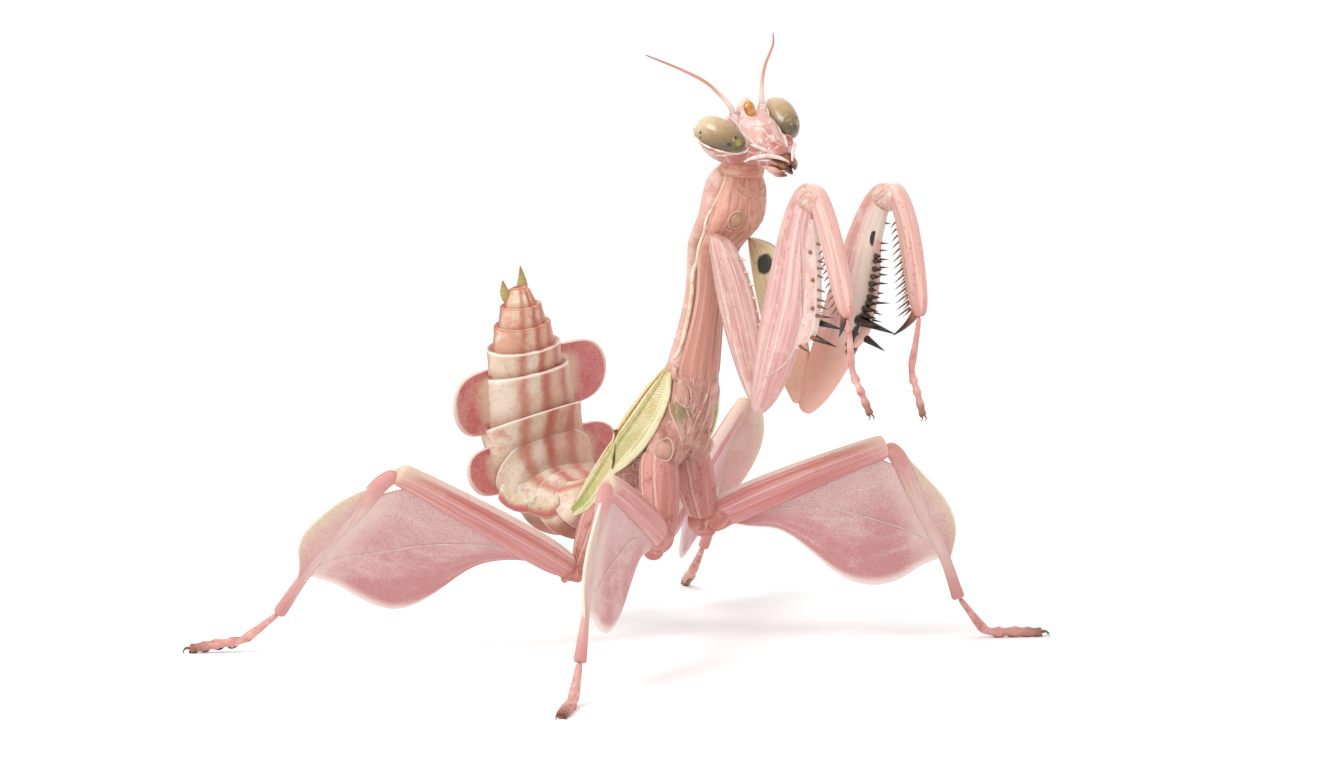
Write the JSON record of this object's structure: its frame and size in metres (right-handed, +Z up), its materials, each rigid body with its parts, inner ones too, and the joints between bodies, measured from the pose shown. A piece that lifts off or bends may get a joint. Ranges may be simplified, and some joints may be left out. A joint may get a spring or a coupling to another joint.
{
  "type": "orchid mantis nymph figure",
  "caption": "Life-size orchid mantis nymph, standing with folded grasping forelegs, petal-shaped walking legs and an upturned abdomen.",
  "frame": {"origin": "on the floor, under the middle of the bounding box", "axes": "+Z up, +X towards the animal's left, it faces -Y"},
  "size_m": [0.0436, 0.0396, 0.0382],
  "materials": {
    "pink_shell": "satin, faintly mottled pink cuticle",
    "rose_shell": "satin rose cuticle",
    "petal_pink": "soft translucent pink, like a petal",
    "salmon_shell": "satin peach cuticle",
    "cream_shell": "satin cream cuticle with pink stripes",
    "pad_green": "satin yellow green cuticle",
    "coral_foot": "satin coral cuticle",
    "eye_beige": "smooth, glossy faceted eye",
    "mouth_brown": "glossy dark brown",
    "feeler_red": "satin terracotta",
    "tail_straw": "satin straw"
  },
  "bodies": {
    "root": {"head": "pink_shell", "eye_right": "eye_beige", "eye_left": "eye_beige", "mouthparts": "mouth_brown", "antenna_right": "feeler_red", "antenna_left": "feeler_red", "neck": "salmon_shell", "fore_wing_pad_right": "pad_green", "hind_wing_pad_right": "pad_green", "fore_wing_pad_left": "pad_green", "hind_wing_pad_left": "pad_green", "pronotum": "pink_shell", "prosternum": "salmon_shell", "mesothorax": "rose_shell", "metathorax": "rose_shell", "abdomen_ring_1": "cream_shell", "abdomen_ring_2": "cream_shell", "abdomen_ring_3": "cream_shell", "abdomen_ring_4": "cream_shell", "abdomen_ring_5": "cream_shell", "abdomen_ring_6": "cream_shell", "abdomen_ring_7": "cream_shell", "abdomen_ring_8": "cream_shell", "abdomen_ring_9": "cream_shell", "cercus_right": "tail_straw", "cercus_left": "tail_straw", "mid_right_coxa": "rose_shell", "mid_right_femur": "petal_pink", "mid_right_tibia": "coral_foot", "mid_right_foot": "coral_foot", "mid_left_coxa": "rose_shell", "mid_left_femur": "petal_pink", "mid_left_tibia": "coral_foot", "mid_left_foot": "coral_foot", "hind_right_coxa": "rose_shell", "hind_right_femur": "petal_pink", "hind_right_tibia": "coral_foot", "hind_right_foot": "coral_foot", "hind_left_coxa": "rose_shell", "hind_left_femur": "petal_pink", "hind_left_tibia": "coral_foot", "hind_left_foot": "coral_foot", "fore_right_coxa": "pink_shell", "fore_right_femur": "pink_shell", "fore_right_tibia": "pink_shell", "fore_right_foot": "coral_foot", "fore_left_coxa": "pink_shell", "fore_left_femur": "pink_shell", "fore_left_tibia": "pink_shell", "fore_left_foot": "coral_foot"}
  },
  "joints": []
}
